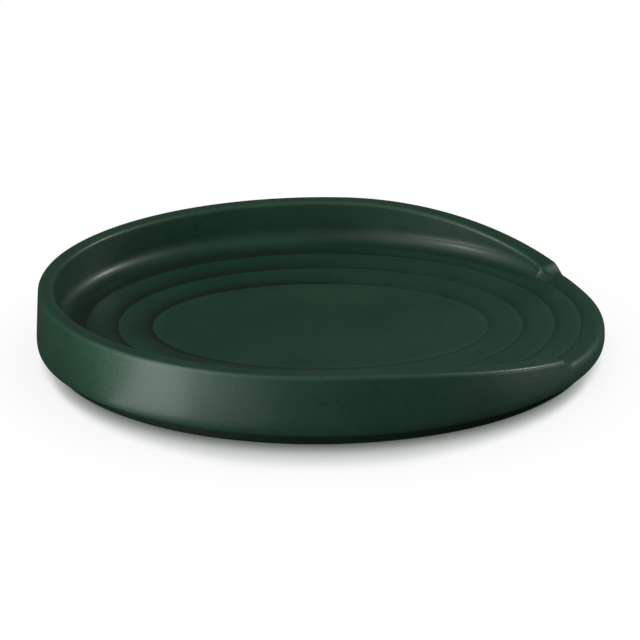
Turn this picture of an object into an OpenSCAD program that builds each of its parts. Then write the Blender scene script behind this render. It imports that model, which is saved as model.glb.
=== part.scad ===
// Oval spoon rest in glazed stoneware, in millimetres.
// The origin is the middle of the foot on the table, +X points to the handle lip and +Z is up.

/* [Overall] */
// Length over the widest part of the wall
length = 155; // [135:1:180]
// Width over the widest part of the wall
width = 115; // [95:1:140]
// Height of the level part of the rim above the table
rim_height = 21.6; // [18:0.2:28]

/* [Wall] */
// Thickness of the rim across its top
rim_thickness = 4.2; // [3:0.1:6]
// Rounding of the rim's inner and outer edges
rim_edge_r = 0.9; // [0.6:0.1:1.3]
// Height at which the outer wall is widest
belly_height = 10.5; // [8:0.5:14]
// Lean of the outer wall inward, from the belly up to the level rim
wall_lean = 1.1; // [0:0.1:2]
// Draw-in of the outer wall from the belly down to the underside
wall_tuck = 0.6; // [0:0.1:1.5]
// Rounding of the wall's lower edge
lower_edge_r = 1.5; // [0.8:0.1:2.2]
// Lean of the inner wall outward, from the floor up to the level rim
inner_lean = 0.8; // [0:0.1:1.5]
// Radius of the cove between the floor and the inner wall
cove_r = 4; // [2.5:0.5:5.5]

/* [Slope and lip] */
// Distance from the middle at which the rim starts to fall towards the lip
slope_start = 5.5; // [0:0.5:20]
// Radius of the arc that the rim falls along, seen from the side
slope_r = 221; // [200:1:300]
// Width of the mouth between the middles of its two shoulders
mouth_width = 58.6; // [40:0.2:70]
// Length of each rounded shoulder along the rim
shoulder_run = 3.6; // [2:0.2:8]
// Rounding of the lip's outer edge
lip_edge_r = 1.6; // [1:0.1:2.4]

/* [Floor rings] */
// Height of the flat middle of the floor above the table
floor_height = 8.7; // [7.5:0.1:10]
// Inset of the first ring's groove from the widest part of the wall
ring_1_inset = 31.4; // [28:0.1:36]
// Inset of the second ring's groove from the widest part of the wall
ring_2_inset = 22.1; // [19:0.1:25]
// Inset of the third ring's groove from the widest part of the wall
ring_3_inset = 13.4; // [12:0.1:16]
// Inset of the lip's groove from the widest part of the wall
lip_ring_inset = 6.4; // [5.5:0.1:7.5]
// Rise of the floor from each ring to the next one out
ring_rise = 0.43; // [0.2:0.01:0.7]
// Depth of the groove at the foot of each ring
groove_depth = 0.35; // [0.2:0.05:0.5]
// Slope at which each ring starts out of its groove
riser_slope = 0.5; // [0.3:0.05:0.7]
// Width over which the middle of the floor dips into the first groove
dip_run = 4; // [2.5:0.5:6]

/* [Foot] */
// Height of the foot, from the table to the underside of the wall
foot_height = 4.6; // [3:0.1:6]
// Inset of the foot's outer side from the widest part of the wall
foot_inset = 4.3; // [3.4:0.1:8]
// Fillet between the foot's outer side and the underside of the wall
foot_fillet = 0.8; // [0.4:0.1:1.2]
// Width of the foot ring at the table
foot_width = 5; // [3.5:0.1:8]
// Rounding of the foot's outer edge at the table
foot_edge_r = 0.5; // [0.2:0.1:0.6]
// Depth of the recess inside the foot ring
recess_depth = 4.2; // [3:0.1:5]
// Lean of the recess's side wall
recess_lean = 0.6; // [0:0.1:1.5]
// Fillet between the recess's side wall and its ceiling
recess_fillet = 1.5; // [0.8:0.1:2]

/* [Glaze] */
// Thickness of the fired glaze
glaze = 0.4; // [0.2:0.05:0.5]
// Height of the bare clay that is wiped clean above the table
bare_band = 0.8; // [0.7:0.1:1.5]

/* [Hidden] */

half_l = length / 2;
half_w = width / 2;
rings = [ring_1_inset, ring_2_inset, ring_3_inset, lip_ring_inset];
grooves = [for (i = [0 : len(rings) - 1]) [rings[i], floor_height + i * ring_rise - groove_depth]];
lip_height = floor_height + len(rings) * ring_rise;
cove_height = floor_height + (len(rings) - 1) * ring_rise;

// Stations round the oval: close together on the shoulders, where the rim steps down to the lip
mouth_angle = asin(mouth_width / width);
rim_pace = norm([half_l * sin(mouth_angle), half_w * cos(mouth_angle)]) * PI / 180;
mouth_in = mouth_angle - shoulder_run / 2 / rim_pace;
mouth_out = mouth_angle + shoulder_run / 2 / rim_pace;
mouth_steps = 12;
shoulder_steps = 5;
wall_steps = 42;
stations = concat(
    steps(-mouth_in, mouth_in, mouth_steps),
    steps(mouth_in, mouth_out, shoulder_steps),
    steps(mouth_out, 360 - mouth_out, wall_steps),
    steps(360 - mouth_out, 360 - mouth_in, shoulder_steps)
);

function steps(from, to, count) = [for (i = [0 : count - 1]) from + (to - from) * i / count];
function mix(a, b, share) = a + (b - a) * share;
function ease(u) = let (c = max(0, min(1, u))) c * c * (3 - 2 * c);

// A profile point is [inset from the widest oval, height]. This places one at a station angle.
function place(t, p) = [(half_l - p.x) * cos(t), (half_w - p.x) * sin(t), p.y];

// Angle from the middle of the lip, to either side
function from_lip(t) = t > 180 ? 360 - t : abs(t);

// 1 where the wall stands, 0 in the mouth, easing over the shoulders
function wall_share(t) = ease((from_lip(t) - mouth_in) / (mouth_out - mouth_in));

// Rim height along the slope, which ends at the shoulders, and the height of the edge with the lip taken in
function slope_z(t) =
    let (run = max(0, half_l * cos(max(from_lip(t), mouth_in)) - slope_start))
    rim_height - slope_r + sqrt(slope_r * slope_r - run * run);
function edge_z(t) = mix(lip_height, slope_z(t), wall_share(t));

// Outer wall: straight lean above the belly, a soft draw-in below it
function outer_inset(z) =
    z > belly_height
        ? wall_lean * (z - belly_height) / (rim_height - belly_height)
        : wall_tuck * pow((belly_height - z) / (belly_height - foot_height), 2);

// Inner wall: a leaning face that turns into the floor through the cove
function inner_inset(z) =
    let (
        face = wall_lean + rim_thickness + inner_lean * (rim_height - z) / (rim_height - cove_height),
        low = max(0, cove_height + cove_r - z)
    )
    face + cove_r - sqrt(cove_r * cove_r - low * low);

// Floor rings: each climbs steeply out of a groove, flattens, and at its end dips into the next groove
function ring_point(from, to, u, dip) =
    let (
        climb = to.y - from.y + dip,
        power = riser_slope * (from.x - to.x) / climb
    )
    [mix(from.x, to.x, u), from.y + climb * (1 - pow(1 - u, power)) - dip * pow(u, 4)];
function ring_band(i) = [for (u = [0, 0.12, 0.35, 0.8]) ring_point(grooves[i], grooves[i + 1], u, groove_depth)];
floor_part = concat(
    [[ring_1_inset + dip_run, floor_height]],
    ring_band(0),
    ring_band(1),
    [grooves[2]]
);

// Ramp, cove, inner wall and rim edge, from the third groove up to the top of a rim at height z
cove_toe = 0.015;
function wall_inside(z) =
    let (foot = cove_height + cove_toe * cove_r, top = z - rim_edge_r)
    concat(
        [ring_point(grooves[2], [inner_inset(foot), foot], 0.4, 0)],
        [for (i = [0 : 5]) let (h = mix(foot, top, pow(i / 5, 1.8))) [inner_inset(h), h]],
        [for (a = [30, 60, 90]) [inner_inset(top) - rim_edge_r * (1 - cos(a)), top + rim_edge_r * sin(a)]]
    );

// Last floor ring and the lip, with the same count of points as the wall's inside
function lip_inside() =
    let (crest = [outer_inset(lip_height - lip_edge_r) + lip_edge_r, lip_height])
    concat(
        [for (u = [0.12, 0.35, 0.8]) ring_point(grooves[2], grooves[3], u, groove_depth)],
        [for (u = [0, 0.08, 0.18, 0.32, 0.5, 0.7, 0.9]) ring_point(grooves[3], crest, u, 0)]
    );

// Rounded outer edge of the rim or lip, starting at its top
function edge_round(z, r) = [
    for (a = [90, 60, 30, 0]) [outer_inset(z - r) + r * (1 - cos(a)), z - r + r * sin(a)]
];

// Outer wall below that edge, its lower rounding, the underside and the foot's side down to the bare band
function wall_outside(z) =
    let (low = foot_height + lower_edge_r, tuck = outer_inset(low))
    concat(
        [for (u = [0.35, 0.7, 1]) let (h = mix(z, low, u)) [outer_inset(h), h]],
        [for (a = [30, 60, 90]) [tuck + lower_edge_r * (1 - cos(a)), low - lower_edge_r * sin(a)]],
        [for (a = [0, 45, 90]) [foot_inset - foot_fillet * (1 - sin(a)), foot_height - foot_fillet * (1 - cos(a))]],
        [[foot_inset, bare_band]]
    );

// Glazed surface of the dish at a station, from the floor over the rim to the foot
function glazed_section(t) =
    let (
        share = wall_share(t),
        z = edge_z(t),
        r = mix(lip_edge_r, rim_edge_r, share),
        wall = wall_inside(slope_z(t)),
        lip = lip_inside()
    )
    concat(
        floor_part,
        [for (i = [0 : len(wall) - 1]) mix(lip[i], wall[i], share)],
        edge_round(z, r),
        wall_outside(z - r)
    );

// The same section moved into the clay by the thickness of the glaze
function under_glaze(s) = [
    for (i = [0 : len(s) - 1])
        let (v = s[min(i + 1, len(s) - 1)] - s[max(i - 1, 0)])
        s[i] + glaze * [-v.y, v.x] / norm(v)
];

// Recess inside the foot ring, from its ceiling down to a level, with a coat of the given thickness in it
function recess_section(level, coat) =
    let (
        top = recess_depth - coat,
        slope = recess_lean / recess_depth,
        side = foot_inset + foot_width + coat,
        turn = top - recess_fillet
    )
    concat(
        [
            for (a = [0, 45, 90])
                [side + slope * turn + recess_fillet * (1 - sin(a)), turn + recess_fillet * cos(a)]
        ],
        [[side + slope * level, level]]
    );

glazed = [for (t = stations) glazed_section(t)];
clay = [for (s = glazed) under_glaze(s)];
clay_foot = [
    [foot_inset + glaze, foot_edge_r],
    [foot_inset + glaze + foot_edge_r, 0]
];

// Rings of points from one section per station, or from one section that is the same all round
function ring_set(sections) = [
    for (i = [0 : len(sections[0]) - 1]) [for (j = [0 : len(stations) - 1]) place(stations[j], sections[j][i])]
];
function even_rings(section) = [for (p = section) [for (t = stations) place(t, p)]];
function reversed(list) = [for (i = [len(list) - 1 : -1 : 0]) list[i]];

// Closed solid through a stack of rings, with a flat cap on the first and the last
module loft(stack) {
    n = len(stack[0]);
    last = (len(stack) - 1) * n;
    first_cap = [for (j = [n - 1 : -1 : 0]) j];
    last_cap = [for (j = [0 : n - 1]) last + j];
    sides = [
        for (i = [0 : len(stack) - 2], j = [0 : n - 1])
            let (a = i * n + j, b = i * n + (j + 1) % n)
            each [[a, b, b + n], [a, b + n, a + n]]
    ];
    polyhedron([for (r = stack) each r], concat([first_cap], sides, [last_cap]), convexity = 6);
}

// Fired clay dish, hollowed out underneath inside its foot ring
module stoneware_body() {
    color("#b8a78f")
    difference() {
        loft(concat(ring_set(clay), even_rings(clay_foot)));
        loft(even_rings(recess_section(-1, 0)));
    }
}

// Satin green glaze over everything that shows from above and from the side
module glaze_coat() {
    color("#22392e")
    loft(concat(ring_set(glazed), reversed(ring_set(clay))));
}

// Glaze inside the foot ring, parted from the coat by the bare ring that stands on the table
module underside_glaze() {
    color("#2b4537")
    loft(concat(
        even_rings(recess_section(bare_band, 0)),
        reversed(even_rings(recess_section(bare_band, glaze)))
    ));
}

stoneware_body();
glaze_coat();
underside_glaze();
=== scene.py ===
import math

import bmesh
import bpy
from mathutils import Matrix, Vector


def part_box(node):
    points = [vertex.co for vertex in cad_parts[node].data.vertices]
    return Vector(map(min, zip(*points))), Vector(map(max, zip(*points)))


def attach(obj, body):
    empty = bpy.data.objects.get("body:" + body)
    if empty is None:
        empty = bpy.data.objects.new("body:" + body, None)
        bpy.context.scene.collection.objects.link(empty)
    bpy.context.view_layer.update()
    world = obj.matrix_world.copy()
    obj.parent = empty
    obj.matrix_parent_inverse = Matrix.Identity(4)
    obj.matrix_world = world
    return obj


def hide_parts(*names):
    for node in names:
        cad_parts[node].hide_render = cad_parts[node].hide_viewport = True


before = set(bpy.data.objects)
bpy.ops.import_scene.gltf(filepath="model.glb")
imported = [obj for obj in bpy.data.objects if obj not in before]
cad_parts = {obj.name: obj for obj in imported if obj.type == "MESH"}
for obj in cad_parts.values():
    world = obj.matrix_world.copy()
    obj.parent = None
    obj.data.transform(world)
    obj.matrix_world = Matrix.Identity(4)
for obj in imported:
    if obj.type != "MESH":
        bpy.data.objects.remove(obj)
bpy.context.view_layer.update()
coatLow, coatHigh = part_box("glaze_coat")
mm = 0.001
scene = bpy.context.scene
scene.view_settings.view_transform = "Standard"
print("frame loaded, nodes:", ", ".join(sorted(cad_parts)))


# small helpers

def lerp(a, b, share):
    return a + (b - a) * share


def ease(u):
    c = min(1.0, max(0.0, u))
    return c * c * (3 - 2 * c)


def steps(start, end, count):
    # evenly spaced values, without the end one
    return [lerp(start, end, i / count) for i in range(count)]


def linearColour(hexText):
    # sRGB hex to the linear colour that shaders and lamps take
    channels = [int(hexText[i:i + 2], 16) / 255 for i in (1, 3, 5)]
    return [c / 12.92 if c <= 0.04045 else ((c + 0.055) / 1.055) ** 2.4 for c in channels] + [1.0]


def addNode(tree, kind, settings, links=None):
    # a number or a socket's own name in settings goes to that socket, anything else to the node
    node = tree.nodes.new(kind)
    for key, value in settings.items():
        if isinstance(key, int) or key in node.inputs:
            node.inputs[key].default_value = value
        else:
            setattr(node, key, value)
    for key, socket in (links or {}).items():
        tree.links.new(socket, node.inputs[key])
    return node


def direction(azimuth, elevation):
    # unit vector from the dish, azimuth in degrees to the right of the dish's front
    a, e = math.radians(azimuth), math.radians(elevation)
    return Vector((math.sin(a) * math.cos(e), -math.cos(a) * math.cos(e), math.sin(e)))


def aim(thing, target, roll=0.0):
    turn = (target - thing.location).to_track_quat("-Z", "Y").to_matrix()
    thing.rotation_euler = (turn @ Matrix.Rotation(math.radians(roll), 3, "Z")).to_euler()


# camera, fitted to the rim, ring and foot edges of the picture
cameraSet = {
    "distance": 900 * mm,
    "azimuth": 1.76,
    "elevation": 27.01,
    "roll": -0.776,
    "pictureSide": 640,            # pixels
    "focalLength": 3287.9,         # pixels
    "footMiddle": (320.2, 352.6),  # pixel on which the middle of the foot falls
    "sensorWidth": 36,
}


def makeCamera(s):
    data = bpy.data.cameras.new("pictureCamera")
    data.sensor_fit = "HORIZONTAL"
    data.sensor_width = s["sensorWidth"]
    data.lens = s["focalLength"] * s["sensorWidth"] / s["pictureSide"]
    camera = bpy.data.objects.new("pictureCamera", data)
    scene.collection.objects.link(camera)
    back = direction(s["azimuth"], s["elevation"])
    right = Vector((0, 0, 1)).cross(back).normalized()
    up = back.cross(right)
    perPixel = s["distance"] / s["focalLength"]
    aside, below = (pixel - s["pictureSide"] / 2 for pixel in s["footMiddle"])
    camera.location = back * s["distance"]
    aim(camera, up * below * perPixel - right * aside * perPixel, s["roll"])
    scene.camera = camera


makeCamera(cameraSet)
print("camera set")


# the dish in millimetres; its three overall sizes come from the frame
dish = {
    "halfLength": min(-coatLow.x, coatHigh.x) / mm,
    "halfWidth": coatHigh.y / mm,
    "rimHeight": coatHigh.z / mm,
    "rimThickness": 4.2,
    "rimEdge": 1.1,
    "bellyHeight": 6.8,
    "bellySoft": 1.0,        # height over which the straight wall turns into its tuck
    "wallLean": 1.1,
    "wallTuck": 0.6,
    "lowerEdge": 1.5,
    "innerLean": 0.8,
    "cove": 4.0,
    "coveToe": 0.015,
    "slopeStart": 5.5,
    "slopeRadius": 221.0,
    "mouthWidth": 58.6,
    "shoulderRun": 4.4,
    "shoulderTail": 12.0,    # run over which the shoulder dies away into the lip
    "tailShare": 0.28,       # share of its drop that is left to that run
    "shoulderSkew": 0.12,    # how far the wall's inner side runs on past its outer one, by inset
    "lipEdge": 2.4,
    "floorHeight": 8.7,
    "ringInsets": (31.4, 22.1, 13.4, 6.4),
    "ringRise": 0.43,
    "grooveDepth": 0.35,
    "riserSlope": 0.5,       # how steeply a ring starts out of its groove
    "dipPower": 4,           # how late it dips into the next one
    "dipRun": 8.0,           # width over which the middle of the floor dips into the first groove
    "footHeight": 4.1,
    "footInset": 4.3,
    "footFillet": 0.8,
    "footWidth": 5.0,
    "footEdge": 0.5,
    "recessDepth": 4.2,
    "recessLean": 0.6,
    "recessFillet": 1.5,
    "recessStraight": 0.3,   # share of the recess's depth over which the bare clay runs straight
    "glaze": 0.4,
    "bareBand": 0.4,
    "glazeBead": 0.35,       # height over which the glaze thins out to its edge on the foot
    "glazeWaver": 0.12,      # how far that edge strays from a level line
    "waves": ((5, 0.6), (11, 0.4)),  # how often it strays round the foot, and by which share
    "waveStart": {"outer": 1.3, "inner": 2.9},
    "softening": 3,          # passes that round the creases, as glaze does when it melts
    "shadeReach": 4.2,        # how far the painted shade reaches out of a groove
    "wallShadeReach": 3.4,    # and out of the groove at the foot of the wall
    "lineReach": 1.1,        # a thin painted dark line of shade follows every groove, all the way round
    "lineDepth": 0.3,
    "shadeDepth": 1.0,        # strength of the wider painted shade beside it
    "shadeSide": 165,         # degrees from the lip to where the painted shade is deepest
    "shadeSpread": (0.5, 1.3),  # start and width of its fading, as cosines of the turn from there
    "shadeLeast": 0.12,       # share of that depth on the other side
    "wallShadeDepth": 1.35,   # the painted shade is deeper at the foot of the wall than in a ring's groove
    "footShade": -0.75,       # painted shade on the foot, under the wall's overhang
    "crestLightReach": 1.3,       # how far the painted highlight reaches back from a ring's crest
    "crestLight": 0.55,        # how strong that painted highlight is there
    "edgeLightAndShade": 0.35,    # painted highlight on the edges of the rim and the lip, and painted shade in their creases
    "sharpAngle": 55,        # degrees from which an edge is shaded sharp
}
# how many points each stretch of the section has, and stations each stretch of the oval
counts = {
    "mouth": 44,
    "shoulder": 18,
    "wallStations": 144,
    "middle": 16,
    "ring": 26,
    "lastRing": 30,
    "ramp": 14,
    "wall": 34,
    "rimInside": 12,
    "rimTop": 5,
    "rimOutside": 14,
    "outerWall": 30,
    "lowerEdge": 14,
    "footFillet": 8,
    "footSide": 7,
    "footEdge": 7,
    "bead": 4,
    "recessSide": 4,
    "recessFillet": 12,
}
crowding = {"ring": 1.4, "wall": 1.8}  # how closely points gather at the low end of a stretch
d = dish
mouthAngle = math.degrees(math.asin(d["mouthWidth"] / 2 / d["halfWidth"]))
rimPace = math.radians(math.hypot(
    d["halfLength"] * math.sin(math.radians(mouthAngle)),
    d["halfWidth"] * math.cos(math.radians(mouthAngle)),
))
mouthIn = mouthAngle - d["shoulderRun"] / 2 / rimPace
mouthOut = mouthAngle + d["shoulderRun"] / 2 / rimPace
ringCount = len(d["ringInsets"])
lipHeight = d["floorHeight"] + ringCount * d["ringRise"]
coveHeight = d["floorHeight"] + (ringCount - 1) * d["ringRise"]
recessSlope = d["recessLean"] / d["recessDepth"]

# stations round the oval, close together on the two shoulders
stations = (
    steps(-mouthIn, mouthIn, counts["mouth"])
    + steps(mouthIn, mouthOut, counts["shoulder"])
    + steps(mouthOut, 360 - mouthOut, counts["wallStations"])
    + steps(360 - mouthOut, 360 - mouthIn, counts["shoulder"])
)


def fromLip(t):
    return 360 - t if t > 180 else abs(t)


def wallShare(t, inset=0.0):
    # 1 where the wall stands, 0 in the mouth, with a steep drop that ends in a long low tail
    turn = fromLip(t) + d["shoulderSkew"] * inset / rimPace
    steep = ease((turn - mouthIn) / (mouthOut - mouthIn))
    tailStart = mouthIn - d["shoulderTail"] / rimPace
    return lerp(steep, ease((turn - tailStart) / (mouthOut - tailStart)), d["tailShare"])


def slopeHeight(t):
    turn = math.radians(max(fromLip(t), mouthIn))
    run = max(0, d["halfLength"] * math.cos(turn) - d["slopeStart"])
    return d["rimHeight"] - d["slopeRadius"] + math.sqrt(d["slopeRadius"] ** 2 - run * run)


def outerInset(z):
    up = z - d["bellyHeight"]
    lean = d["wallLean"] / (d["rimHeight"] - d["bellyHeight"])
    tuck = max(0, -up) / (d["bellyHeight"] - d["footHeight"])
    return lean * (math.hypot(up, d["bellySoft"]) + up) / 2 + d["wallTuck"] * tuck ** 2


def innerInset(z):
    fall = (d["rimHeight"] - z) / (d["rimHeight"] - coveHeight)
    low = max(0, coveHeight + d["cove"] - z)
    face = d["wallLean"] + d["rimThickness"] + d["innerLean"] * fall
    return face + d["cove"] - math.sqrt(d["cove"] ** 2 - low * low)


def grooveHeight(i):
    return d["floorHeight"] + i * d["ringRise"] - d["grooveDepth"]


def ringPoint(start, end, u, dip):
    # from a groove the floor climbs steeply, flattens, and at its end dips into the next groove
    climb = end[1] - start[1] + dip
    power = d["riserSlope"] * (start[0] - end[0]) / climb
    height = start[1] + climb * (1 - (1 - u) ** power) - dip * u ** d["dipPower"]
    return (lerp(start[0], end[0], u), height)


grooves = [(inset, grooveHeight(i)) for i, inset in enumerate(d["ringInsets"])]


def bandShares(count):
    # close together near the groove, where the ring is steep
    return [(i / count) ** crowding["ring"] for i in range(count)]


def ringBand(i):
    shares = bandShares(counts["ring"])
    return [ringPoint(grooves[i], grooves[i + 1], u, d["grooveDepth"]) for u in shares]


def middleEdge():
    run = d["dipRun"]
    return [
        (d["ringInsets"][0] + run * (1 - u), d["floorHeight"] - d["grooveDepth"] * u ** d["dipPower"])
        for u in steps(0, 1, counts["middle"])
    ]


floorPart = middleEdge() + ringBand(0) + ringBand(1) + [grooves[2]]


def shadeSideShare(t):
    # share of the painted shade's strength at this turn round the oval
    turn = math.cos(math.radians(t - d["shadeSide"]))
    start, width = d["shadeSpread"]
    return lerp(d["shadeLeast"], 1.0, ease((turn + start) / width))


def crestHighlightAt(groove, inset):
    # painted highlight on the crest before a groove
    return d["crestLight"] * math.exp((groove - inset) / d["crestLightReach"])


def grooveShadeAt(groove, inset, reach, sideShade):
    # painted shade out of a groove: a thin dark line and a wider band beside it
    away = inset - groove
    wide = sideShade * d["shadeDepth"] * math.exp(away / reach)
    return -wide - d["lineDepth"] * math.exp(away / d["lineReach"])


wallStart = counts["ramp"] + counts["wall"]
lipPoints = wallStart + counts["rimInside"] - counts["lastRing"]


def wallInside(z):
    # crowned ramp out of the last groove, cove, inner wall and the rim's inner edge
    foot, top = coveHeight + d["coveToe"] * d["cove"], z - d["rimEdge"]
    shares = bandShares(counts["ramp"] + 1)[1:]
    ramp = [ringPoint(grooves[2], (innerInset(foot), foot), u, 0) for u in shares]
    last = counts["wall"] - 1
    heights = [lerp(foot, top, (i / last) ** crowding["wall"]) for i in range(counts["wall"])]
    turns = [math.radians(90 * (i + 1) / counts["rimInside"]) for i in range(counts["rimInside"])]
    return ramp + [(innerInset(h), h) for h in heights] + [
        (innerInset(top) - d["rimEdge"] * (1 - math.cos(a)), top + d["rimEdge"] * math.sin(a))
        for a in turns
    ]


def lipInside():
    # last ring, its groove and the lip, with as many points as the wall has
    crest = (outerInset(lipHeight - d["lipEdge"]) + d["lipEdge"], lipHeight)
    shares = bandShares(counts["lastRing"] + 1)[1:]
    ring = [ringPoint(grooves[2], grooves[3], u, d["grooveDepth"]) for u in shares]
    return ring + [ringPoint(grooves[3], crest, u, 0) for u in bandShares(lipPoints)]


def arc(middle, radius, start, end, count):
    turns = [math.radians(lerp(start, end, i / (count - 1))) for i in range(count)]
    return [(middle[0] - radius * math.cos(a), middle[1] + radius * math.sin(a)) for a in turns]


def outside(z, r):
    # rounded top edge, outer wall, lower edge, underside and the fillet onto the foot
    low = d["footHeight"] + d["lowerEdge"]
    fillet = (d["footInset"] - d["footFillet"], d["footHeight"] - d["footFillet"])
    under = outerInset(low) + d["lowerEdge"]
    wallHeights = steps(z - r, low, counts["outerWall"])[1:]
    return (
        arc((outerInset(z - r) + r, z - r), r, 90, 0, counts["rimOutside"])
        + [(outerInset(h), h) for h in wallHeights]
        + arc((under, low), d["lowerEdge"], 0, -90, counts["lowerEdge"])
        + [(lerp(under, fillet[0], u), d["footHeight"]) for u in (0.3, 0.6)]
        + arc(fillet, d["footFillet"], 90, 180, counts["footFillet"])
    )


def glazeEnd(t, side):
    # height of the glaze's wavy lower edge on the outer or the inner side of the foot
    start = d["waveStart"][side]
    strays = [
        share * math.sin(times * math.radians(t) + (i + 1) * start)
        for i, (times, share) in enumerate(d["waves"])
    ]
    return d["bareBand"] + d["glazeWaver"] * sum(strays)


def beadTurns():
    # the bead stops short of level, where the glaze meets the clay
    return [math.radians(90 * (i + 1) / (counts["bead"] + 1)) for i in range(counts["bead"])]


def footSide(t):
    # glazed side of the foot, which thins out to a bead above the bare clay
    top, beadTop = d["footHeight"] - d["footFillet"], glazeEnd(t, "outer") + d["glazeBead"]
    n = counts["footSide"]
    straight = [(d["footInset"], lerp(top, beadTop, (i + 1) / n)) for i in range(n)]
    return straight + [
        (d["footInset"] + d["glaze"] * (1 - math.cos(a)), beadTop - d["glazeBead"] * math.sin(a))
        for a in beadTurns()
    ]


def softened(section, passes, ends=3):
    # melts creases: each inner point moves halfway to the middle of its neighbours
    for _ in range(passes):
        inner = [
            tuple(0.5 * p[k] + 0.25 * (a[k] + b[k]) for k in (0, 1))
            for a, p, b in zip(section, section[1:], section[2:])
        ]
        section = section[:1] + inner[:-ends] + section[-ends - 1:]
    return section


def glazedMain(t):
    share = wallShare(t)
    z = lerp(lipHeight, slopeHeight(t), share)
    outer = outside(z, lerp(d["lipEdge"], d["rimEdge"], share))
    inside = [
        tuple(lerp(b[k], a[k], wallShare(t, a[0])) for k in (0, 1))
        for a, b in zip(wallInside(slopeHeight(t)), lipInside())
    ]
    start, end = inside[-1], outer[0]
    shares = steps(0, 1, counts["rimTop"] + 1)[1:]
    top = [(lerp(start[0], end[0], u), lerp(start[1], end[1], ease(u))) for u in shares]
    return softened(floorPart + inside + top + outer, d["softening"])


def underGlaze(section):
    # the same section moved into the clay by the thickness of the glaze
    moved = []
    for i, p in enumerate(section):
        a, b = section[max(i - 1, 0)], section[min(i + 1, len(section) - 1)]
        v = (b[0] - a[0], b[1] - a[1])
        size = math.hypot(*v)
        moved.append((p[0] - d["glaze"] * v[1] / size, p[1] + d["glaze"] * v[0] / size))
    return moved


def claySide(t):
    # clay behind the glazed side of the foot
    return [(d["footInset"] + d["glaze"], p[1]) for p in footSide(t)]


def clayFoot(t):
    # bare clay: down to the table, under the foot ring and up the recess to its ceiling
    outer, inner = d["footInset"] + d["glaze"], d["footInset"] + d["footWidth"]
    e = d["footEdge"]
    edge = glazeEnd(t, "outer")
    return (
        [(outer, lerp(edge, e, u)) for u in (0, 0.5)]
        + arc((outer + e, e), e, 0, -90, counts["footEdge"])
        + [(lerp(outer + e, inner - e, u), 0) for u in (0.25, 0.5, 0.75)]
        + arc((inner - e, e), e, -90, -180, counts["footEdge"])
        + [(inner + recessSlope * z, z) for z in recessHeights(e, d["recessDepth"] * d["recessStraight"])]
    )


def recessHeights(start, end):
    n = counts["recessSide"]
    return [lerp(start, end, (i + 1) / n) for i in range(n)]


def recessTop(coat):
    # fillet and ceiling edge of the recess
    turn = d["recessDepth"] - coat - d["recessFillet"]
    side = d["footInset"] + d["footWidth"] + coat + recessSlope * turn
    return arc((side + d["recessFillet"], turn), d["recessFillet"], 0, 90, counts["recessFillet"])


def recessGlazed(t):
    # glaze in the recess, from its ceiling down the side to the bead above the bare ring
    beadTop = glazeEnd(t, "inner") + d["glazeBead"]
    top = d["recessDepth"] - d["glaze"] - d["recessFillet"]
    side = d["footInset"] + d["footWidth"]
    bead = [(d["glaze"] * math.cos(a), beadTop - d["glazeBead"] * math.sin(a)) for a in beadTurns()]
    coated = [(d["glaze"], z) for z in recessHeights(top, beadTop)] + bead
    return (
        recessTop(d["glaze"])[::-1] + [(side + recessSlope * z + thick, z) for thick, z in coated],
        recessTop(0)[::-1] + [(side + recessSlope * z, z) for _, z in coated],
    )


def place(t, p):
    # a section point is (inset from the widest oval, height)
    a = math.radians(t)
    return ((d["halfLength"] - p[0]) * math.cos(a), (d["halfWidth"] - p[0]) * math.sin(a), p[1])


def ringsOf(sections):
    return [[place(t, s[i]) for t, s in zip(stations, sections)] for i in range(len(sections[0]))]


def bendHighlightAndShade(section):
    # above 0 on sharp outer edges, for a painted highlight, and below 0 in creases, for painted shade
    found = [0.0]
    for a, p, b in zip(section, section[1:], section[2:]):
        u, v = (a[0] - p[0], p[1] - a[1]), (p[0] - b[0], b[1] - p[1])
        bend = math.atan2(v[0] * u[1] - v[1] * u[0], u[0] * v[0] + u[1] * v[1])
        curve = 2 * bend / (math.hypot(*u) + math.hypot(*v))
        found.append(d["edgeLightAndShade"] * max(-1.0, min(1.0, curve)))
    return found + [0.0]


def paintedShadingOf(t, section):
    # painted highlight and shade: the rings and the wall's foot go by distance from their grooves, edges
    # by how sharply they bend
    one, two, three, four = d["ringInsets"]
    reach, sideShade = d["shadeReach"], shadeSideShare(t)
    bends = bendHighlightAndShade(section)
    start = len(floorPart)
    floor = [crestHighlightAt(one, p[0]) for p in middleEdge()]
    for i, inner, outer in ((0, one, two), (1, two, three)):
        floor += [
            crestHighlightAt(outer, p[0]) + grooveShadeAt(inner, p[0], reach, sideShade) for p in ringBand(i)
        ]
    floor.append(grooveShadeAt(three, three, reach, sideShade))
    insets = [p[0] for p in wallInside(slopeHeight(t))]
    wallReach = d["wallShadeReach"]
    wall = [d["wallShadeDepth"] * grooveShadeAt(three, inset, wallReach, sideShade) for inset in insets]
    lip = [
        crestHighlightAt(four, p[0]) + grooveShadeAt(three, p[0], reach, sideShade) if i < counts["lastRing"]
        else grooveShadeAt(four, p[0], reach, sideShade)
        for i, p in enumerate(lipInside())
    ]
    for i in range(wallStart, len(wall)):
        wall[i] = bends[start + i]
    inside = [lerp(b, a, wallShare(t, inset)) for a, b, inset in zip(wall, lip, insets)]
    footCount = len(footSide(t)) + counts["footFillet"]
    outer = bends[start + len(inside):-footCount]
    return floor + inside + outer + [d["footShade"]] * footCount


capShares = (0.12, 0.35, 0.6, 0.82)  # smaller rings that fill the two ends of a stack


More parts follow.
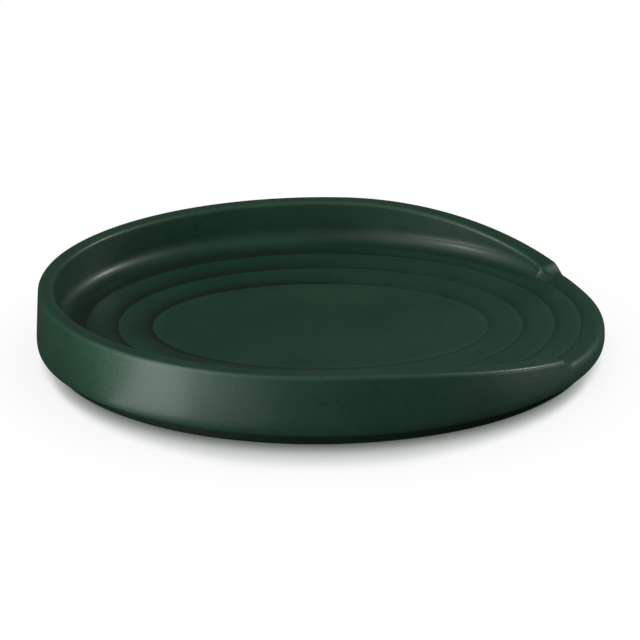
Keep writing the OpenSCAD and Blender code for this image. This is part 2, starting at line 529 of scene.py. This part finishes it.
def makePiece(name, rings, paintedShading, material, node):
    # closed skin through a stack of rings, with the first and the last filled in to the middle
    low, high = (
        [[(x * s, y * s, z) for x, y, z in ring] for s in capShares] for ring in (rings[0], rings[-1])
    )
    stack = low + rings + high[::-1]
    n = len(stations)
    points = [p for ring in stack for p in ring]
    faces = [
        (i * n + j, i * n + (j + 1) % n, (i + 1) * n + (j + 1) % n, (i + 1) * n + j)
        for i in range(len(stack) - 1) for j in range(n)
    ]
    for start, ring in ((0, stack[0]), ((len(stack) - 1) * n, stack[-1])):
        faces += [(len(points), start + (j + 1) % n, start + j) for j in range(n)]
        points.append((0, 0, ring[0][2]))
    mesh = bpy.data.meshes.new(name)
    mesh.from_pydata([Vector(p) * mm for p in points], [], faces)
    work = bmesh.new()
    work.from_mesh(mesh)
    bmesh.ops.recalc_face_normals(work, faces=work.faces)
    work.to_mesh(mesh)
    work.free()
    mesh.shade_smooth()
    mesh.set_sharp_from_angle(angle=math.radians(d["sharpAngle"]))
    values = [0.0] * len(points)
    for i, row in enumerate(paintedShading):
        values[(i + len(capShares)) * n:(i + len(capShares) + 1) * n] = row
    mesh.attributes.new("paintedLightAndShade", "FLOAT", "POINT").data.foreach_set("value", values)
    mesh.materials.append(material)
    piece = bpy.data.objects.new(name, mesh)
    scene.collection.objects.link(piece)
    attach(piece, "root")
    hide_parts(node)
    print("made", name, "with", len(mesh.polygons), "faces")
    return piece


# satin glaze on stoneware: fired matt, so the eye gets a deep green with soft broad highlights,
# a fine tooth that breaks them up, and painted highlights on crests and edges and painted shade
# in the grooves and on the foot, laid into its colour
satinGlaze = {
    "deep": "#133322",
    "plain": "#173a28",
    # painted highlight on the ring crests and on the rim's and lip's edges
    "highlightTint": "#33503f",
    # dark specks, and painted shade in the grooves, the creases and on the foot
    "darkSpeckAndShade": "#07190f",
    "cloudSize": 24.0,       # mm, slow change of shade over the dish
    "speckSize": 1.1,        # mm, real specks are about 0.3 and are drawn coarser to show
    "toothSize": 0.7,        # mm, real tooth is finer and is drawn coarser to show
    "toothDepth": 0.06,      # mm
    "peelSize": 6.0,         # mm
    "peelDepth": 0.02,       # mm
    "roughness": (0.46, 0.52),
    "ior": 1.45,
    "skin": 0.16,            # thin glassier skin on top, which draws the crisp lines in the cove
    "skinRoughness": 0.25,
    "noiseDetail": {"cloud": 3.0, "speck": 2.0, "tooth": 3.0, "peel": 1.0},
    "noiseRoughness": 0.55,
    "cloudRange": (0.35, 0.65),
    "roughRange": (0.3, 0.7),
    "speckRange": (0.56, 0.74, 0.35),   # from none to full, and how strong full is
    "highlightRange": (0.05, 1.0, 0.6),
    "shadeRange": (-0.05, -1.0, 0.9),
}


def makeSatinGlaze(s):
    material = bpy.data.materials.new("satinGlazedStoneware")
    material.use_nodes = True
    tree = material.node_tree
    shader = tree.nodes["Principled BSDF"]
    shader.inputs["IOR"].default_value = s["ior"]
    shader.inputs["Coat Weight"].default_value = s["skin"]
    shader.inputs["Coat Roughness"].default_value = s["skinRoughness"]
    spot = addNode(tree, "ShaderNodeTexCoord", {}).outputs["Object"]
    noises = {
        key: addNode(
            tree, "ShaderNodeTexNoise",
            {"Scale": 1 / (s[key + "Size"] * mm), "Detail": detail, "Roughness": s["noiseRoughness"]},
            {"Vector": spot},
        ).outputs["Fac"]
        for key, detail in s["noiseDetail"].items()
    }
    cloud = addNode(
        tree, "ShaderNodeMapRange",
        {"From Min": s["cloudRange"][0], "From Max": s["cloudRange"][1]}, {"Value": noises["cloud"]},
    ).outputs["Result"]
    shade = addNode(
        tree, "ShaderNodeMix",
        {"data_type": "RGBA", 6: linearColour(s["deep"]), 7: linearColour(s["plain"])}, {0: cloud},
    ).outputs[2]
    shadingMark = addNode(tree, "ShaderNodeAttribute", {"attribute_name": "paintedLightAndShade"}).outputs["Fac"]
    # dark specks, then the painted highlight, then the painted shade
    layers = (
        ("speckRange", noises["speck"], "darkSpeckAndShade"),
        ("highlightRange", shadingMark, "highlightTint"),
        ("shadeRange", shadingMark, "darkSpeckAndShade"),
    )
    for layer, source, colour in layers:
        none, full, strength = s[layer]
        mask = addNode(
            tree, "ShaderNodeMapRange",
            {"From Min": none, "From Max": full, "To Max": strength}, {"Value": source},
        ).outputs["Result"]
        shade = addNode(
            tree, "ShaderNodeMix", {"data_type": "RGBA", 7: linearColour(s[colour])}, {0: mask, 6: shade}
        ).outputs[2]
    rough = addNode(
        tree, "ShaderNodeMapRange",
        {
            "From Min": s["roughRange"][0], "From Max": s["roughRange"][1],
            "To Min": s["roughness"][0], "To Max": s["roughness"][1],
        },
        {"Value": noises["cloud"]},
    ).outputs["Result"]
    peel = addNode(
        tree, "ShaderNodeBump",
        {"Strength": 1.0, "Distance": s["peelDepth"] * mm}, {"Height": noises["peel"]},
    ).outputs["Normal"]
    tooth = addNode(
        tree, "ShaderNodeBump", {"Strength": 1.0, "Distance": s["toothDepth"] * mm},
        {"Height": noises["tooth"], "Normal": peel},
    ).outputs["Normal"]
    for socket, source in (("Base Color", shade), ("Roughness", rough), ("Normal", tooth)):
        tree.links.new(source, shader.inputs[socket])
    return material


# bare stoneware: fired clay wiped clean with a sponge, so the eye gets a dry, sandy, speckled surface
bareClay = {
    # brownish clay with grog specks, its colours darkened well below the fired clay's own as painted
    # shade for the contact shadow under the foot
    "light": "#5a4f40",
    "dark": "#473d31",
    "grog": "#2c251c",
    "bodySize": 7.0,         # mm
    "grogSize": 0.9,         # mm
    "grainSize": 0.5,        # mm
    "grainDepth": 0.05,      # mm
    "roughness": 0.85,
    "ior": 1.5,
    "noiseDetail": 3.0,
    "grogRange": (0.6, 0.68),
}


def makeBareClay(s):
    material = bpy.data.materials.new("bareSpongedStoneware")
    material.use_nodes = True
    tree = material.node_tree
    shader = tree.nodes["Principled BSDF"]
    shader.inputs["IOR"].default_value = s["ior"]
    shader.inputs["Roughness"].default_value = s["roughness"]
    spot = addNode(tree, "ShaderNodeTexCoord", {}).outputs["Object"]
    noises = {
        key: addNode(
            tree, "ShaderNodeTexNoise",
            {"Scale": 1 / (s[key + "Size"] * mm), "Detail": s["noiseDetail"]}, {"Vector": spot},
        ).outputs["Fac"]
        for key in ("body", "grog", "grain")
    }
    shade = addNode(
        tree, "ShaderNodeMix",
        {"data_type": "RGBA", 6: linearColour(s["dark"]), 7: linearColour(s["light"])},
        {0: noises["body"]},
    ).outputs[2]
    grogMask = addNode(
        tree, "ShaderNodeMapRange",
        {"From Min": s["grogRange"][0], "From Max": s["grogRange"][1]}, {"Value": noises["grog"]},
    ).outputs["Result"]
    specked = addNode(
        tree, "ShaderNodeMix", {"data_type": "RGBA", 7: linearColour(s["grog"])}, {0: grogMask, 6: shade}
    ).outputs[2]
    grain = addNode(
        tree, "ShaderNodeBump",
        {"Strength": 1.0, "Distance": s["grainDepth"] * mm}, {"Height": noises["grain"]},
    ).outputs["Normal"]
    for socket, source in (("Base Color", specked), ("Normal", grain)):
        tree.links.new(source, shader.inputs[socket])
    return material


glazeMaterial = makeSatinGlaze(satinGlaze)
clayMaterial = makeBareClay(bareClay)
print("materials made")

mains = [glazedMain(t) for t in stations]
glazed = [m + footSide(t) for t, m in zip(stations, mains)]
clay = [underGlaze(m) + claySide(t) for t, m in zip(stations, mains)]
shadingRows = [list(row) for row in zip(*(paintedShadingOf(t, s) for t, s in zip(stations, glazed)))]
makePiece(
    "satinGlazeCoat", ringsOf(glazed) + ringsOf(clay)[::-1], shadingRows,
    glazeMaterial, "glaze_coat",
)

body = [c + clayFoot(t) + recessTop(0) for t, c in zip(stations, clay)]
makePiece("stonewareBody", ringsOf(body), [], clayMaterial, "stoneware_body")

recess = [recessGlazed(t) for t in stations]
shown, hidden = [r[0] for r in recess], [r[1] for r in recess]
makePiece(
    "undersideGlaze", ringsOf(shown) + ringsOf(hidden)[::-1], [],
    glazeMaterial, "underside_glaze",
)


# pale table: white to the camera with a painted soft shadow drawn from ambient occlusion, as of an
# all-round light, and grey to the dish's own surface, so that the deep glaze stays deep
table = {
    "radius": 4.0,             # metres
    "sides": 96,
    "white": "#ffffff",
    "shadow": "#f5fff8",       # painted green tint in the painted shadow, for the glaze's green thrown into it
    "grey": "#404040",
    "mirrored": 0.03,          # share of its white that the glaze mirrors
    "shadowReach": (11 * mm, 4.2 * mm),  # in front, and at the ends, where the painted shadow is drawn shorter
    "shadowSides": (20 * mm, 72 * mm),   # from the middle to where the shorter reach holds
    "shadowSamples": 16,
    "haloReach": 24 * mm,      # a faint wider shadow round the first one
    "haloDepth": 0.2,
}


def seenDirectly(tree, share):
    # 1 for what the camera sees straight on or through glass, and a share of that for reflections
    path = addNode(tree, "ShaderNodeLightPath", {})
    direct = addNode(
        tree, "ShaderNodeMath", {"operation": "MAXIMUM"},
        {0: path.outputs["Is Camera Ray"], 1: path.outputs["Is Transmission Ray"]},
    ).outputs[0]
    mirrored = addNode(
        tree, "ShaderNodeMath", {"operation": "MULTIPLY", 1: share}, {0: path.outputs["Is Glossy Ray"]}
    ).outputs[0]
    return addNode(tree, "ShaderNodeMath", {"operation": "MAXIMUM"}, {0: direct, 1: mirrored}).outputs[0]


def makeTable(s):
    material = bpy.data.materials.new("paleTable")
    material.use_nodes = True
    tree = material.node_tree
    tree.nodes.remove(tree.nodes["Principled BSDF"])
    spot = addNode(tree, "ShaderNodeTexCoord", {}).outputs["Object"]
    along = addNode(tree, "ShaderNodeSeparateXYZ", {}, {0: spot}).outputs["X"]
    side = addNode(tree, "ShaderNodeMath", {"operation": "ABSOLUTE"}, {0: along}).outputs[0]
    reach = addNode(
        tree, "ShaderNodeMapRange",
        {
            "From Min": s["shadowSides"][0], "From Max": s["shadowSides"][1],
            "To Min": s["shadowReach"][0], "To Max": s["shadowReach"][1],
        },
        {"Value": side},
    ).outputs["Result"]
    near = addNode(
        tree, "ShaderNodeAmbientOcclusion", {"samples": s["shadowSamples"]}, {"Distance": reach}
    ).outputs["AO"]
    far = addNode(
        tree, "ShaderNodeAmbientOcclusion", {"samples": s["shadowSamples"], "Distance": s["haloReach"]}
    ).outputs["AO"]
    halo = addNode(
        tree, "ShaderNodeMapRange", {"To Min": 1 - s["haloDepth"]}, {"Value": far}
    ).outputs["Result"]
    shade = addNode(tree, "ShaderNodeMath", {"operation": "MULTIPLY"}, {0: near, 1: halo}).outputs[0]
    tint = addNode(
        tree, "ShaderNodeMix",
        {"data_type": "RGBA", 6: linearColour(s["shadow"]), 7: linearColour(s["white"])},
        {0: shade},
    ).outputs[2]
    seen = addNode(
        tree, "ShaderNodeEmission", {}, {"Color": tint, "Strength": shade}
    ).outputs["Emission"]
    felt = addNode(tree, "ShaderNodeBsdfDiffuse", {"Color": linearColour(s["grey"])}).outputs["BSDF"]
    surface = addNode(
        tree, "ShaderNodeMixShader", {}, {0: seenDirectly(tree, s["mirrored"]), 1: felt, 2: seen}
    ).outputs["Shader"]
    tree.links.new(surface, tree.nodes["Material Output"].inputs["Surface"])
    corners = [2 * math.pi * i / s["sides"] for i in range(s["sides"])]
    mesh = bpy.data.meshes.new("paleTable")
    edge = [(s["radius"] * math.cos(a), s["radius"] * math.sin(a), 0) for a in corners]
    mesh.from_pydata(edge, [], [list(range(s["sides"]))])
    mesh.materials.append(material)
    floor = bpy.data.objects.new("paleTable", mesh)
    scene.collection.objects.link(floor)


makeTable(table)
print("table made")


# studio: a dim all-round room, softboxes at the left and the right, two faint cards behind,
# and bounce cards that lie on the table beside the dish and throw light up at its wall
studio = {
    "room": "#ffffff",
    "roomGlow": 0.48,
    "roomMirrored": 0.01,
    "boxDistance": 1.1,            # metres
    "boxTarget": (0, 0, 10 * mm),
    "softboxes": {
        "leftKey": {"azimuth": -55, "elevation": 40, "size": (0.16, 0.14), "glow": 60.0},
        "leftTop": {"azimuth": -75, "elevation": 62, "size": (0.50, 0.40), "glow": 2.1},
        "leftSide": {"azimuth": -40, "elevation": 14, "size": (0.28, 0.24), "glow": 9.2},
        "leftLow": {"azimuth": -52, "elevation": 6, "size": (0.16, 0.20), "glow": 26.0},
        "rightKey": {"azimuth": 98, "elevation": 32, "size": (0.20, 0.16), "glow": 60.0},
        "backCard": {"azimuth": 180, "elevation": 28, "size": (0.90, 0.30), "glow": 0.11},
        "backStrip": {"azimuth": 180, "elevation": 12, "size": (0.90, 0.20), "glow": 0.26},
    },
    "bounceCards": {
        "leftBounce": {"azimuth": -47, "distance": 0.25, "size": (0.04, 0.25), "glow": 9.5},
        "nearBounce": {"azimuth": -45, "distance": 0.105, "size": (0.030, 0.06), "glow": 3.4},
        "frontBounce": {"azimuth": -28, "distance": 0.100, "size": (0.05, 0.05), "glow": 1.1},
        "rightBounce": {"azimuth": 72, "distance": 0.27, "size": (0.10, 0.25), "glow": 10.5},
    },
    "cardLift": 0.5,               # degrees above the table
}


def makeLamp(name, s, spot):
    data = bpy.data.lights.new(name, "AREA")
    data.shape = "RECTANGLE"
    width, depth = s["size"]
    data.size, data.size_y = width, depth
    data.energy = s["glow"] * math.pi * width * depth  # watts that give this radiance
    lamp = bpy.data.objects.new(name, data)
    scene.collection.objects.link(lamp)
    lamp.location = spot
    lamp.visible_camera = False
    return lamp


def makeSoftbox(name, s):
    spot = direction(s["azimuth"], s["elevation"]) * studio["boxDistance"]
    aim(makeLamp(name, s, spot), Vector(studio["boxTarget"]))


def makeBounceCard(name, s):
    # lies flat with its glowing side up and its long side towards the dish
    spot = direction(s["azimuth"], studio["cardLift"]) * s["distance"]
    makeLamp(name, s, spot).rotation_euler = (math.pi, 0, math.radians(s["azimuth"]))


def makeRoom(s):
    world = bpy.data.worlds.new("studioRoom")
    world.use_nodes = True
    scene.world = world
    tree = world.node_tree
    path = addNode(tree, "ShaderNodeLightPath", {})
    soft = addNode(
        tree, "ShaderNodeMath",
        {"operation": "MULTIPLY", 1: s["roomGlow"]}, {0: path.outputs["Is Diffuse Ray"]},
    ).outputs[0]
    strength = addNode(
        tree, "ShaderNodeMath",
        {"operation": "MAXIMUM"}, {0: seenDirectly(tree, s["roomMirrored"]), 1: soft},
    ).outputs[0]
    room = tree.nodes["Background"]
    room.inputs["Color"].default_value = linearColour(s["room"])
    tree.links.new(strength, room.inputs["Strength"])


for name, box in studio["softboxes"].items():
    makeSoftbox(name, box)
for name, card in studio["bounceCards"].items():
    makeBounceCard(name, card)
makeRoom(studio)
print("studio lit, softboxes:", len(studio["softboxes"]), "bounce cards:", len(studio["bounceCards"]))
